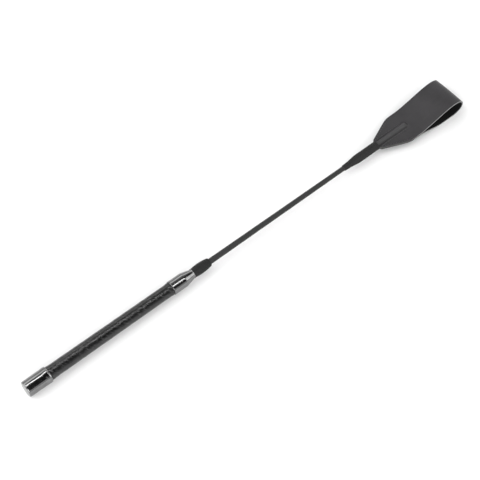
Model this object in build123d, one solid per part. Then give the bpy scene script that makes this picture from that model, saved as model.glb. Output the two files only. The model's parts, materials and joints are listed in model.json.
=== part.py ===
from build123d import *
import math
import os

# A riding crop that lies on a table. Millimetres. X runs along the crop from the butt to the keeper,
# and Z is up. The pieces are drawn about the crop's own axis, with the butt end at x = 0. They are
# written with the middle of the crop's length at x = 0 and with the table at z = 0, so that the axis
# is one cap radius above the table. A round piece's outline is a list of (x, radius) points.

# Driving dimensions
TOTAL_LENGTH = 610.0
CAP_RADIUS = 9.4
AXIS_HEIGHT = CAP_RADIUS

# Stations along X, where one piece ends and the next begins
CAP_END = 28.5
GRIP_END = 188.3
COLLAR_CONE_START = 205.8
COLLAR_END = 218.3
HANDLE_WHIPPING_END = 241.1
TIP_WHIPPING_START = 438.5
TIP_LEAD_END = 449.0
TIP_WHIPPING_FULL = 457.0
KEEPER_BASE = 490.0
KEEPER_SHOULDER = 524.0
ROD_END = 535.2
KEEPER_HINGE = 545.5

# Metal cap and collar
CAP_WALL = 1.5
CAP_END_WALL = 2.0
CAP_END_FILLET = 1.6
CAP_LIP_FILLET = 0.7
COLLAR_RADIUS = 8.25
COLLAR_NOSE_RADIUS = 5.8
COLLAR_WALL = 1.2
COLLAR_LIP = 1.2
COLLAR_EDGE_FILLET = 0.4

# Handle, from the inside out
TUBE_BORE = 3.6
TUBE_RADIUS = 5.6
TUBE_START = 5.0
TUBE_END = 204.0
GRIP_RADIUS_REAR = 7.6
GRIP_RADIUS_FRONT = 7.2
WRAP_THICKNESS = 0.8
HEM_RISE = 0.45
HEM_LENGTH = 3.0
PRESS_GAP = 0.05
BUSH_LENGTH = 22.0
PLUG_HEAD_LENGTH = 2.6
PLUG_END = 14.0
REAR_BUSH_START = 18.0

# Rod and its braided cover
ROD_START = 14.5
ROD_RADIUS_BUTT = 2.5
ROD_RADIUS_TIP = 1.95
BRAID_START = 205.5
BRAID_END = 488.0
BRAID_RADIUS_BUTT = 3.5
BRAID_RADIUS_TIP = 2.75

# The shaft bends at three points, spread evenly over its free length
BEND_COUNT = 3
BALL_PROUD = 0.10
BALL_GAP = 0.06

# Binding thread
THREAD_LAYER = 0.5
BULB_RADIUS_REAR = 5.3
BULB_RADIUS_MAX = 6.2
BULB_RADIUS_FRONT = 4.7
BULB_WIDEST = 227.0
TIP_LEAD_RADIUS = 4.0
TIP_STEP_RADIUS = 4.3
TIP_WHIPPING_RADIUS = 5.4
WHIPPING_EDGE = 0.5

# Keeper
KEEPER_HALF_WIDTH = 21.3
KEEPER_BASE_HALF_WIDTH = 6.8
SHOULDER_FILLET = 6.0
PLY = 1.7
NECK_START = 466.0
NECK_RADIUS = 4.6
RIDGE_RADIUS = 3.85
END_CAP_RADIUS = 2.4
END_CAP_START = 523.7
END_CAP_GAP = 0.05
HINGE_NOSE = 2.1
HINGE_GAP = 0.15
LOOP_TOP = 13.4
LOOP_TOP_X = 593.0
LOOP_BOTTOM = -AXIS_HEIGHT
LOOP_FLAT_START = 576.0
LOOP_FLAT_END = 594.0
LOOP_START = 548.0
LOOP_CROTCH = 550.6
LOOP_MERGED = 0.05
FOLD_HEIGHT = 0.6
STRAP = 1.8
UPPER_SAMPLES = 12
LOWER_SAMPLES = 4

# Stitches beside the ridge and along the tapered edges
STITCH_RADIUS = 0.35
STITCH_LENGTH = 2.4
STITCH_PITCH = 3.4
STITCH_INSET = 2.4
RIDGE_SEAM_Y = 5.4
RIDGE_SEAM_START = 494.0
EDGE_SEAM_START = 498.0
EDGE_SEAM_END = 521.0

# Cutting shapes are larger than what they cut
CORNER_REACH = 0.1             # a corner this close to a station belongs to it
CUT_PAST = 1.0
CUT_SIZE = 60.0

os.makedirs("parts", exist_ok=True)


def save(solid, name):
    """Move a piece to its place above the table and write it as one sub-part."""
    export_step(Pos(-TOTAL_LENGTH / 2, 0, AXIS_HEIGHT) * solid, f"parts/{name}.step")


def turned(outline):
    """A solid of revolution about X, from its (x, radius) outline."""
    face = make_face(Plane.XZ * Polyline(*outline, close=True))
    return revolve(face, Axis.X)


def sleeve(start, end, bore, radius):
    """A plain straight tube about X."""
    return turned([(start, bore), (end, bore), (end, radius), (start, radius)])


def slab(start, end):
    """All space between two stations."""
    return Pos((start + end) / 2, 0, 0) * Box(end - start, CUT_SIZE, CUT_SIZE)


def rod_radius(x):
    """Outer radius of the bare rod, which tapers evenly to its tip."""
    share = (x - ROD_START) / (ROD_END - ROD_START)
    return ROD_RADIUS_BUTT + share * (ROD_RADIUS_TIP - ROD_RADIUS_BUTT)


def braid_radius(x):
    """Outer radius of the braided cover."""
    share = (x - BRAID_START) / (BRAID_END - BRAID_START)
    return BRAID_RADIUS_BUTT + share * (BRAID_RADIUS_TIP - BRAID_RADIUS_BUTT)


def grip_radius(x):
    """Outer radius of the grip away from its hems."""
    share = (x - CAP_END) / (GRIP_END - CAP_END)
    return GRIP_RADIUS_REAR + share * (GRIP_RADIUS_FRONT - GRIP_RADIUS_REAR)


def bend_points():
    """Where the shaft's bending is gathered: the middles of equal lengths of the free shaft."""
    step = (TIP_WHIPPING_START - HANDLE_WHIPPING_END) / BEND_COUNT
    return [HANDLE_WHIPPING_END + step * (i + 0.5) for i in range(BEND_COUNT)]


def butt_cap():
    """A turned metal cup with rounded edges."""
    cup = turned([(0, 0), (CAP_END, 0), (CAP_END, CAP_RADIUS), (0, CAP_RADIUS)])
    rims = cup.edges().filter_by(GeomType.CIRCLE).sort_by(Axis.X)
    cup = fillet(rims[0], CAP_END_FILLET)
    rims = cup.edges().filter_by(GeomType.CIRCLE).sort_by(Axis.X)
    cup = fillet(rims[-1], CAP_LIP_FILLET)
    return cup - sleeve(CAP_END_WALL, CAP_END + CUT_PAST, 0, CAP_RADIUS - CAP_WALL)


def cap_bush():
    """Fills the cap round the end of the handle tube."""
    inner = TUBE_RADIUS + PRESS_GAP
    outer = CAP_RADIUS - CAP_WALL - PRESS_GAP
    return sleeve(TUBE_START, CAP_END - PRESS_GAP, inner, outer)


def butt_plug():
    """A headed plug that closes the tube behind the rod."""
    head_end = CAP_END_WALL + PLUG_HEAD_LENGTH
    head = sleeve(CAP_END_WALL + PRESS_GAP, head_end, 0, TUBE_RADIUS)
    return head + sleeve(head_end, PLUG_END, 0, TUBE_BORE - PRESS_GAP)


def handle_tube():
    """The stiff tube under the grip."""
    return sleeve(TUBE_START, TUBE_END, TUBE_BORE, TUBE_RADIUS)


def rod_bush(start):
    """A bush that holds the rod in the middle of the tube."""
    end = start + BUSH_LENGTH
    outer = TUBE_BORE - PRESS_GAP
    return turned([(start, rod_radius(start)), (end, rod_radius(end)), (end, outer), (start, outer)])


def grip_padding():
    """The soft underlay, between the tube and the wrap."""
    gap = WRAP_THICKNESS + PRESS_GAP
    rear = (CAP_END + PRESS_GAP, grip_radius(CAP_END) - gap)
    front = (GRIP_END - PRESS_GAP, grip_radius(GRIP_END) - gap)
    return turned([(rear[0], TUBE_RADIUS), (front[0], TUBE_RADIUS), front, rear])


def grip_wrap():
    """The sheath, with a thicker turned-in hem at each end."""
    rear = CAP_END + PRESS_GAP
    front = GRIP_END - PRESS_GAP
    outline = [
        (rear, grip_radius(rear) - WRAP_THICKNESS),
        (front, grip_radius(front) - WRAP_THICKNESS),
        (front, grip_radius(front) + HEM_RISE),
        (front - HEM_LENGTH, grip_radius(front) + HEM_RISE),
        (front - 2 * HEM_LENGTH, grip_radius(front - 2 * HEM_LENGTH)),
        (rear + 2 * HEM_LENGTH, grip_radius(rear + 2 * HEM_LENGTH)),
        (rear + HEM_LENGTH, grip_radius(rear) + HEM_RISE),
        (rear, grip_radius(rear) + HEM_RISE),
    ]
    return turned(outline)


def collar():
    """The ferrule: a cylinder, a cone and a short rounded nose, bored for its bush and for the shaft."""
    nose_start = COLLAR_END - COLLAR_LIP
    outline = [
        (GRIP_END, 0),
        (GRIP_END, COLLAR_RADIUS),
        (COLLAR_CONE_START, COLLAR_RADIUS),
        (nose_start, COLLAR_NOSE_RADIUS),
        (COLLAR_END, COLLAR_NOSE_RADIUS),
        (COLLAR_END, 0),
    ]
    shell = turned(outline)
    rims = shell.edges().filter_by(GeomType.CIRCLE).sort_by(Axis.X)
    shell = fillet([rims[0], rims[-1]], COLLAR_EDGE_FILLET)
    shell -= sleeve(GRIP_END - CUT_PAST, TUBE_END + CUT_PAST, 0, COLLAR_RADIUS - COLLAR_WALL)
    return shell - sleeve(TUBE_END, COLLAR_END + CUT_PAST, 0, BRAID_RADIUS_BUTT + PRESS_GAP)


def collar_bush():
    """Fills the collar round the front end of the tube."""
    inner = TUBE_RADIUS + PRESS_GAP
    outer = COLLAR_RADIUS - COLLAR_WALL - PRESS_GAP
    return sleeve(GRIP_END + PRESS_GAP, TUBE_END, inner, outer)


def whole_rod():
    """The rod from the handle to inside the keeper, before it is cut at the bending points."""
    return turned(
        [(ROD_START, 0), (ROD_END, 0), (ROD_END, ROD_RADIUS_TIP), (ROD_START, ROD_RADIUS_BUTT)]
    )


def whole_braid():
    """The braided cover, before it is cut at the bending points."""
    return turned(
        [
            (BRAID_START, rod_radius(BRAID_START)),
            (BRAID_END, rod_radius(BRAID_END)),
            (BRAID_END, BRAID_RADIUS_TIP),
            (BRAID_START, BRAID_RADIUS_BUTT),
        ]
    )


def cut_at_bends(whole, count):
    """Cut a long piece at the bending points. Each length starts as a ball and ends as its socket."""
    bends = bend_points()
    stations = [0.0] + bends + [TOTAL_LENGTH]
    lengths = []
    for i in range(count):
        keep = slab(stations[i], stations[i + 1])
        if i > 0:
            ball = braid_radius(stations[i]) + BALL_PROUD
            keep += Pos(stations[i], 0, 0) * Sphere(ball)
        piece = whole & keep
        if i < count - 1:
            socket = braid_radius(stations[i + 1]) + BALL_PROUD + BALL_GAP
            piece -= Pos(stations[i + 1], 0, 0) * Sphere(socket)
        lengths.append(piece)
    return lengths


def bulb_profile(inset):
    """The olive shape of the handle whipping, as an open curve, set in by a distance."""
    return Spline(
        (COLLAR_END, BULB_RADIUS_REAR - inset),
        (BULB_WIDEST, BULB_RADIUS_MAX - inset),
        (HANDLE_WHIPPING_END, BULB_RADIUS_FRONT - inset),
        tangents=[(1, 0.35), (1, -0.30)],
    )


def bulb(inset):
    """The handle whipping's full body down to the axis, set in by a distance."""
    top = bulb_profile(inset)
    rest = Polyline(top @ 1, (HANDLE_WHIPPING_END, 0), (COLLAR_END, 0), top @ 0)
    return revolve(make_face(Plane.XZ * (top + rest)), Axis.X)


def handle_whipping():
    """The layer of binding thread over its filler."""
    ends = slab(COLLAR_END + PRESS_GAP, HANDLE_WHIPPING_END)
    return (bulb(0) - bulb(THREAD_LAYER)) & ends


def whipping_filler():
    """The tape build-up that gives the handle whipping its olive shape."""
    rear = COLLAR_END - CUT_PAST
    front = HANDLE_WHIPPING_END + CUT_PAST
    bore = turned([(rear, 0), (front, 0), (front, braid_radius(front)), (rear, braid_radius(rear))])
    return (bulb(THREAD_LAYER) - bore) & slab(COLLAR_END + PRESS_GAP, HANDLE_WHIPPING_END)


def tip_whipping_lead():
    """The thin first layer of thread, wound straight onto the braid."""
    return turned(
        [
            (TIP_WHIPPING_START, braid_radius(TIP_WHIPPING_START)),
            (TIP_LEAD_END, braid_radius(TIP_LEAD_END)),
            (TIP_LEAD_END, TIP_LEAD_RADIUS),
            (TIP_WHIPPING_START + WHIPPING_EDGE, TIP_LEAD_RADIUS),
            (TIP_WHIPPING_START, TIP_LEAD_RADIUS - WHIPPING_EDGE),
        ]
    )


def tip_whipping():
    """The full layer of thread that binds the keeper's neck to the shaft."""
    return turned(
        [
            (TIP_LEAD_END, TIP_STEP_RADIUS - THREAD_LAYER),
            (TIP_WHIPPING_FULL, TIP_WHIPPING_RADIUS - THREAD_LAYER),
            (KEEPER_BASE, TIP_WHIPPING_RADIUS - THREAD_LAYER),
            (KEEPER_BASE, TIP_WHIPPING_RADIUS - WHIPPING_EDGE / 2),
            (KEEPER_BASE - WHIPPING_EDGE, TIP_WHIPPING_RADIUS),
            (TIP_WHIPPING_FULL, TIP_WHIPPING_RADIUS),
            (TIP_LEAD_END, TIP_STEP_RADIUS),
        ]
    )


def tip_filler():
    """The tape build-up under the tip whipping, up to the keeper's neck."""
    return turned(
        [
            (TIP_LEAD_END, braid_radius(TIP_LEAD_END)),
            (NECK_START - PRESS_GAP, braid_radius(NECK_START - PRESS_GAP)),
            (NECK_START - PRESS_GAP, TIP_WHIPPING_RADIUS - THREAD_LAYER),
            (TIP_WHIPPING_FULL, TIP_WHIPPING_RADIUS - THREAD_LAYER),
            (TIP_LEAD_END, TIP_STEP_RADIUS - THREAD_LAYER),
        ]
    )


def rod_end_cap():
    """A thimble with a round end over the rod's tip."""
    barrel = sleeve(END_CAP_START, ROD_END, 0, END_CAP_RADIUS)
    barrel += Pos(ROD_END, 0, 0) * Sphere(END_CAP_RADIUS)
    return barrel - whole_rod()


def ply_outline():
    """The flat outline of the keeper's stitched part, seen from above."""
    corners = [
        (KEEPER_BASE + PRESS_GAP, -KEEPER_BASE_HALF_WIDTH),
        (KEEPER_SHOULDER, -KEEPER_HALF_WIDTH),
        (KEEPER_HINGE, -KEEPER_HALF_WIDTH),
        (KEEPER_HINGE, KEEPER_HALF_WIDTH),
        (KEEPER_SHOULDER, KEEPER_HALF_WIDTH),
        (KEEPER_BASE + PRESS_GAP, KEEPER_BASE_HALF_WIDTH),
    ]
    face = make_face(Polyline(*corners, close=True))
    shoulders = [v for v in face.vertices() if abs(v.X - KEEPER_SHOULDER) < CORNER_REACH]
    return fillet(shoulders, SHOULDER_FILLET)


def rounded_bar(start, end, radius):
    """A bar about X with a round front end."""
    return sleeve(start, end, 0, radius) + Pos(end, 0, 0) * Sphere(radius)


def keeper_plies():
    """Both stitched plies as one body: a flat plate, the ridge over the rod, and the round neck."""
    plate = extrude(ply_outline(), PLY, both=True)
    ridge = rounded_bar(KEEPER_BASE, ROD_END, RIDGE_RADIUS)
    neck = sleeve(NECK_START, KEEPER_BASE + PRESS_GAP, 0, NECK_RADIUS)
    body = plate + ridge + neck
    body -= rounded_bar(BRAID_END, ROD_END, END_CAP_RADIUS + END_CAP_GAP)
    bore = braid_radius(NECK_START) + PRESS_GAP
    body -= sleeve(NECK_START - CUT_PAST, BRAID_END + PRESS_GAP, 0, bore)
    socket = Rot(90, 0, 0) * Cylinder(HINGE_NOSE + HINGE_GAP, 3 * KEEPER_HALF_WIDTH)
    return body - Pos(KEEPER_HINGE, 0, 0) * socket


def stitch_row(start, end):
    """Thread bars in a row from one (x, y) point to another, half sunk in both faces of the plies."""
    run = math.dist(start, end)
    count = int((run - STITCH_LENGTH) / STITCH_PITCH) + 1
    heading = math.degrees(math.atan2(end[1] - start[1], end[0] - start[0]))
    bars = []
    for i in range(count):
        share = (STITCH_LENGTH / 2 + i * STITCH_PITCH) / run
        x = start[0] + share * (end[0] - start[0])
        y = start[1] + share * (end[1] - start[1])
        for face in (PLY, -PLY):
            bar = Rot(0, 0, heading) * Rot(0, 90, 0) * Cylinder(STITCH_RADIUS, STITCH_LENGTH)
            bars.append(Pos(x, y, face) * bar)
    return bars


def stitches():
    """Two seams beside the ridge and two along the tapered edges."""
    bars = []
    taper = (KEEPER_HALF_WIDTH - KEEPER_BASE_HALF_WIDTH) / (KEEPER_SHOULDER - KEEPER_BASE)
    start_y = KEEPER_BASE_HALF_WIDTH + taper * (EDGE_SEAM_START - KEEPER_BASE) - STITCH_INSET
    end_y = KEEPER_BASE_HALF_WIDTH + taper * (EDGE_SEAM_END - KEEPER_BASE) - STITCH_INSET
    for side in (1, -1):
        bars += stitch_row((RIDGE_SEAM_START, side * RIDGE_SEAM_Y), (ROD_END, side * RIDGE_SEAM_Y))
        bars += stitch_row((EDGE_SEAM_START, side * start_y), (EDGE_SEAM_END, side * end_y))
    return bars


def set_in(curve, shares):
    """Points one strap thickness inside the loop's outline, at shares of one curve's length."""
    points = []
    for share in shares:
        heading = curve % share
        points.append(curve @ share + STRAP * Vector(heading.Y, -heading.X))
    return points


def loop_profile():
    """The teardrop of the folded strap, seen from the side, with the same thickness all round."""
    start = (LOOP_START, PLY)
    end = (LOOP_START, -PLY)
    top = (LOOP_TOP_X, LOOP_TOP)
    fold = (TOTAL_LENGTH, FOLD_HEIGHT)
    flat_end = (LOOP_FLAT_END, LOOP_BOTTOM)
    flat_start = (LOOP_FLAT_START, LOOP_BOTTOM)
    upper = Spline(start, top, fold, flat_end, tangents=[(1, 0.18), (1, 0), (0, -1), (-1, 0)])
    lower = Spline(flat_start, end, tangents=[(-1, 0), (-1, 0.20)])
    outer = make_face(upper + Line(flat_end, flat_start) + lower + Line(end, start))

    crotch = (LOOP_CROTCH, 0)
    upper_step = (1 - LOOP_MERGED) / UPPER_SAMPLES
    lower_step = (1 - 2 * LOOP_MERGED) / LOWER_SAMPLES
    upper_shares = [LOOP_MERGED + upper_step * i for i in range(UPPER_SAMPLES + 1)]
    lower_shares = [lower_step * i for i in range(LOWER_SAMPLES + 1)]
    inner_upper = [crotch] + set_in(upper, upper_shares)
    inner_lower = set_in(lower, lower_shares) + [crotch]
    curves = Spline(*inner_upper) + Line(inner_upper[-1], inner_lower[0]) + Spline(*inner_lower)
    return outer - make_face(curves)


def keeper_loop():
    """The folded strap beyond the stitched plies, with the round nose that it bends on."""
    web_length = LOOP_START - KEEPER_HINGE
    web = Pos(KEEPER_HINGE + web_length / 2, 0) * Rectangle(web_length, 2 * PLY)
    nose = Pos(KEEPER_HINGE, 0) * Circle(HINGE_NOSE)
    profile = nose + web + loop_profile()
    return extrude(Plane.XZ * profile, 2 * KEEPER_HALF_WIDTH).moved(Pos(0, KEEPER_HALF_WIDTH, 0))


def main():
    save(butt_cap(), "butt_cap")
    save(cap_bush(), "cap_bush")
    save(butt_plug(), "butt_plug")
    save(handle_tube(), "handle_tube")
    save(rod_bush(REAR_BUSH_START), "rod_bush_rear")
    save(rod_bush(TUBE_END - BUSH_LENGTH), "rod_bush_front")
    save(grip_padding(), "grip_padding")
    save(grip_wrap(), "grip_wrap")
    save(collar(), "collar")
    save(collar_bush(), "collar_bush")
    save(handle_whipping(), "handle_whipping")
    save(whipping_filler(), "whipping_filler")

    link_names = ["handle", "lower", "upper", "tip"]
    for name, piece in zip(link_names, cut_at_bends(whole_rod(), BEND_COUNT + 1)):
        save(piece, f"core_rod_{name}")
    for name, piece in zip(link_names, cut_at_bends(whole_braid(), BEND_COUNT + 1)):
        save(piece, f"braid_{name}")

    save(tip_whipping_lead(), "tip_whipping_lead")
    save(tip_whipping(), "tip_whipping")
    save(tip_filler(), "tip_filler")
    save(rod_end_cap(), "rod_end_cap")

    bars = stitches()
    plies = keeper_plies() - bars
    save(split(plies, Plane.XY, keep=Keep.TOP), "keeper_top_ply")
    save(split(plies, Plane.XY, keep=Keep.BOTTOM), "keeper_bottom_ply")
    save(Compound(children=bars), "keeper_stitching")
    save(keeper_loop(), "keeper_loop")


main()
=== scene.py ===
import json
import math

import bpy
import numpy as np
from mathutils import Matrix, Vector


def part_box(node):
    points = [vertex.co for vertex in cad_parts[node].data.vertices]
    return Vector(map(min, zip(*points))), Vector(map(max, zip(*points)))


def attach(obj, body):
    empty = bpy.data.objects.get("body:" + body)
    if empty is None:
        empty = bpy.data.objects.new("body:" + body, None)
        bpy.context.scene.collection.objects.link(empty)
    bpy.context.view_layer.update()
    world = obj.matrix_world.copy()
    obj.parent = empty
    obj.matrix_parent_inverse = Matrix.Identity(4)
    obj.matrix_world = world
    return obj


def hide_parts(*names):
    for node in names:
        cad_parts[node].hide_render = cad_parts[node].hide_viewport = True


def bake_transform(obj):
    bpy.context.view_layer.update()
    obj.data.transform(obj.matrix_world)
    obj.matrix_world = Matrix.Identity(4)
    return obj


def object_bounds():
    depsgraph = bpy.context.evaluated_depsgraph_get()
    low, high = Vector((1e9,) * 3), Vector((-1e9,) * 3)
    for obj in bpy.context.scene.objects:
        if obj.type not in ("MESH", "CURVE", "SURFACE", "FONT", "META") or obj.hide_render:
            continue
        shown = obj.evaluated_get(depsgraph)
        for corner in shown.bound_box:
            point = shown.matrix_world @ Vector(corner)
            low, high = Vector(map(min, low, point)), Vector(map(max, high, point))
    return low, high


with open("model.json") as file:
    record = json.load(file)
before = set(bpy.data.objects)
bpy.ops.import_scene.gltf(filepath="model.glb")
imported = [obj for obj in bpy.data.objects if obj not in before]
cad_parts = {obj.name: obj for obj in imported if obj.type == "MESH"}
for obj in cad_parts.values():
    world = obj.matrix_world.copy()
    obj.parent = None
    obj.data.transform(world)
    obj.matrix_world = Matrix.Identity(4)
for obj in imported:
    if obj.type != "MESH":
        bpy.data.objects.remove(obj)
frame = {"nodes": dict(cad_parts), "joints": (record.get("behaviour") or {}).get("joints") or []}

# A riding crop that lies along X on a pale table. Every size is in metres, in the CAD frame.
# An angle round the crop's axis is 0 towards +Y and a quarter turn towards +Z.

CAD_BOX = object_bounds()
MM = 0.001
FULL_TURN = 2 * math.pi


# ---------------------------------------------------------------- places, read from the frame

def span(node):
    """Where a round node starts and ends along X, and its largest radius."""
    low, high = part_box(node)
    return low.x, high.x, (high.z - low.z) / 2


CAP_START, CAP_END, CAP_RADIUS = span("butt_cap")
GRIP_START, GRIP_END, GRIP_HEM_RADIUS = span("grip_wrap")
COLLAR_START, COLLAR_END, COLLAR_RADIUS = span("collar")
BULB_START, BULB_END, BULB_RADIUS = span("handle_whipping")
LEAD_START, LEAD_END, LEAD_RADIUS = span("tip_whipping_lead")
WHIP_START, WHIP_END, WHIP_RADIUS = span("tip_whipping")
ROD_START, _, ROD_RADIUS = span("core_rod_handle")
ROD_END = span("core_rod_tip")[1]
BRAID_START, _, BRAID_RADIUS = span("braid_handle")
BRAID_END = span("braid_tip")[1]
PLIES_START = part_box("keeper_top_ply")[0].x
KEEPER_HALF_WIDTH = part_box("keeper_loop")[1].y
KEEPER_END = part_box("keeper_loop")[1].x
AXIS_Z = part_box("butt_cap")[0].z + CAP_RADIUS

JOINTS = {joint["name"]: joint for joint in frame["joints"]}
BENDS = [JOINTS[f"shaft_flex_{i}"]["pos_m"][0] for i in (1, 2, 3)]
HINGE = JOINTS["keeper_flap"]["pos_m"][0]


# ---------------------------------------------------------------- mesh building

def add_piece(name, points, faces, body, replaced, uv=None):
    """Make a smooth-shaded mesh that stands for CAD nodes and rides on a body, if it is given one."""
    mesh = bpy.data.meshes.new(name)
    mesh.from_pydata(points.tolist(), [], faces.tolist())
    mesh.polygons.foreach_set("use_smooth", [True] * len(mesh.polygons))
    if uv is not None:
        layer = mesh.uv_layers.new(name="Surface")
        corner = np.zeros(len(mesh.loops), np.int32)
        mesh.loops.foreach_get("vertex_index", corner)
        layer.data.foreach_set("uv", uv[corner].astype(np.float32).ravel())
    mesh.update()
    piece = bpy.data.objects.new(name, mesh)
    bpy.context.scene.collection.objects.link(piece)
    if body:
        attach(piece, body)
    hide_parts(*replaced)
    return piece


def tube_faces(rings, around):
    """The quads between neighbouring rings of points, each ring closed. They face the axis when the
    rings follow each other along +X and their points turn from +Y to +Z."""
    ring, column = np.meshgrid(np.arange(rings - 1), np.arange(around), indexing="ij")
    here, ahead = ring * around, (ring + 1) * around
    beside = (column + 1) % around
    corners = [here + column, ahead + column, ahead + beside, here + beside]
    return np.stack(corners, axis=-1).reshape(-1, 4)


def skin(name, x, radius, body, replaced):
    """A skin round the crop's axis: x is one station per ring, radius is rings by angles.
    A first or last ring whose radius is 0 closes that end."""
    rings, around = radius.shape
    angle = np.arange(around) * FULL_TURN / around
    stations = np.repeat(np.asarray(x, float)[:, None], around, axis=1)
    points = np.stack(
        [stations, radius * np.cos(angle), AXIS_Z + radius * np.sin(angle)], axis=-1
    ).reshape(-1, 3)
    steps = np.hypot(np.diff(x), np.diff(radius.mean(axis=1)))
    along = np.concatenate([[0], np.cumsum(steps)])
    uv = np.stack(
        [np.repeat(along, around), np.tile(angle, rings) * radius.max()], axis=-1
    )
    faces = tube_faces(rings, around)[:, ::-1]
    return add_piece(name, points, faces, body, replaced, uv)


def smoothstep(value, low, high):
    share = np.clip((value - low) / (high - low), 0, 1)
    return share * share * (3 - 2 * share)


ARC_POINTS = 8      # steps round each rounded corner of a profile


def profile(corners, step):
    """Stations and radii along an outline of (x, radius, corner rounding) points, at most a step apart."""
    xs, rs = [], []
    for i, (x, r, rounding) in enumerate(corners):
        here = np.array([x, r])
        if rounding <= 0 or i in (0, len(corners) - 1):
            xs.append(x)
            rs.append(r)
            continue
        before = np.array(corners[i - 1][:2]) - here
        after = np.array(corners[i + 1][:2]) - here
        before /= np.linalg.norm(before)
        after /= np.linalg.norm(after)
        half = math.acos(np.clip(before @ after, -1, 1)) / 2
        reach = rounding / math.tan(half)
        centre = here + (before + after) / np.linalg.norm(before + after) * rounding / math.sin(half)
        first = here + before * reach - centre
        last = here + after * reach - centre
        turn = math.pi - 2 * half
        for k in range(ARC_POINTS + 1):
            share = k / ARC_POINTS
            arc = first * math.sin(turn * (1 - share)) + last * math.sin(turn * share)
            xs.append(centre[0] + arc[0] / math.sin(turn))
            rs.append(centre[1] + arc[1] / math.sin(turn))
    xs, rs = np.array(xs), np.array(rs)
    gaps = np.hypot(np.diff(xs), np.diff(rs))
    out_x, out_r = [xs[0]], [rs[0]]
    for i, gap in enumerate(gaps):
        count = max(1, math.ceil(gap / step))
        share = np.arange(1, count + 1) / count
        out_x.extend(xs[i] + share * (xs[i + 1] - xs[i]))
        out_r.extend(rs[i] + share * (rs[i + 1] - rs[i]))
    return np.array(out_x), np.array(out_r)


def streaky_noise(rings, around, ring_step, angle_step, long, wide, tilt, seed):
    """Seeded noise that joins up round the axis, drawn out along a slant. Its peaks are near +-1."""
    random = np.random.default_rng(seed)
    grain = np.fft.fft2(random.standard_normal((rings, around)))
    kx = np.fft.fftfreq(rings, ring_step)[:, None] * FULL_TURN
    ka = np.fft.fftfreq(around, angle_step)[None, :] * FULL_TURN
    lengthways = kx * math.cos(tilt) + ka * math.sin(tilt)
    across = -kx * math.sin(tilt) + ka * math.cos(tilt)
    kept = np.exp(-((lengthways * long) ** 2 + (across * wide) ** 2) / 2)
    kept = kept * (1 - np.exp(-((across * wide * 2.5) ** 2)))
    field = np.real(np.fft.ifft2(grain * kept))
    return field / (2.5 * field.std())


# ---------------------------------------------------------------- metal

METAL_AROUND = 192
METAL_STEP = 0.3 * MM
CAP_SIDE = CAP_RADIUS - 0.25 * MM
CAP_BORE = CAP_RADIUS - 1.3 * MM
CAP_DOME = 0.25 * MM            # how far the end face bulges
CAP_CORNER = 1.2 * MM
CAP_FLARE_LENGTH = 6.0 * MM     # the side starts to widen this far from the mouth
CAP_LIP_LENGTH = 1.6 * MM
CAP_GROOVE = 0.28 * MM          # depth of the groove behind the bead of the lip
COLLAR_CYLINDER = 17 * MM
COLLAR_WALL = 1.1 * MM          # wall thickness at the rear end
NOSE_LENGTH = 1.5 * MM
NOSE_RADIUS = 5.8 * MM
NOSE_STEP = 0.25 * MM
NOSE_CLEARANCE = 0.4 * MM


def turned(name, corners, node):
    """A metal piece turned to a profile, which runs back a little way inside each open end."""
    x, radius = profile(corners, METAL_STEP)
    return skin(name, x, np.repeat(radius[:, None], METAL_AROUND, 1), "handle", [node])


def butt_cap():
    """The turned cup: a slightly domed end, a straight side that flares a little to the mouth, and a
    lip with a groove and a bead."""
    return turned("butt_cap_skin", [
        (CAP_START, 0, 0),
        (CAP_START + 0.08 * MM, CAP_SIDE * 0.75, 9 * MM),
        (CAP_START + CAP_DOME, CAP_SIDE, CAP_CORNER),
        (CAP_END - CAP_FLARE_LENGTH, CAP_SIDE, 20 * MM),
        (CAP_END - CAP_LIP_LENGTH, CAP_RADIUS, 0.9 * MM),
        (CAP_END - 0.9 * MM, CAP_RADIUS - CAP_GROOVE, 0.3 * MM),
        (CAP_END - 0.4 * MM, CAP_RADIUS - 0.1 * MM, 0.25 * MM),
        (CAP_END, CAP_RADIUS - 0.5 * MM, 0.3 * MM),
        (CAP_END, CAP_BORE, 0.25 * MM),
        (CAP_END - 5 * MM, CAP_BORE, 0),
    ], "butt_cap")


def collar():
    """The ferrule: a cylinder, a cone and a short rolled nose."""
    nose = COLLAR_END - NOSE_LENGTH
    bore = BRAID_RADIUS + NOSE_CLEARANCE
    return turned("collar_skin", [
        (COLLAR_START + 4 * MM, COLLAR_RADIUS - COLLAR_WALL, 0),
        (COLLAR_START, COLLAR_RADIUS - COLLAR_WALL, 0.2 * MM),
        (COLLAR_START, COLLAR_RADIUS, 0.45 * MM),
        (COLLAR_START + COLLAR_CYLINDER, COLLAR_RADIUS, 9 * MM),
        (nose, NOSE_RADIUS - NOSE_STEP, 0.35 * MM),
        (nose + 0.45 * MM, NOSE_RADIUS, 0.3 * MM),
        (COLLAR_END, NOSE_RADIUS, 0.5 * MM),
        (COLLAR_END, bore, 0.3 * MM),
        (COLLAR_END - 6 * MM, bore, 0),
    ], "collar")


# ---------------------------------------------------------------- grip

GRIP_RADIUS_REAR = 7.6 * MM
GRIP_RADIUS_FRONT = 7.2 * MM
HEM_RISE = GRIP_HEM_RADIUS - GRIP_RADIUS_REAR
WRAP_THICKNESS = 0.8 * MM
GRIP_AROUND = 176
GRIP_STEP = 0.4 * MM
END_ROUNDING = 0.6 * MM
CREASE_HEIGHT = 0.04 * MM
WAVE_HEIGHT = 0.07 * MM
LAP_HEIGHT = 0.22 * MM
LAP_GROOVE = 0.12 * MM
SEAM_ANGLE = math.radians(-28)


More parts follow.
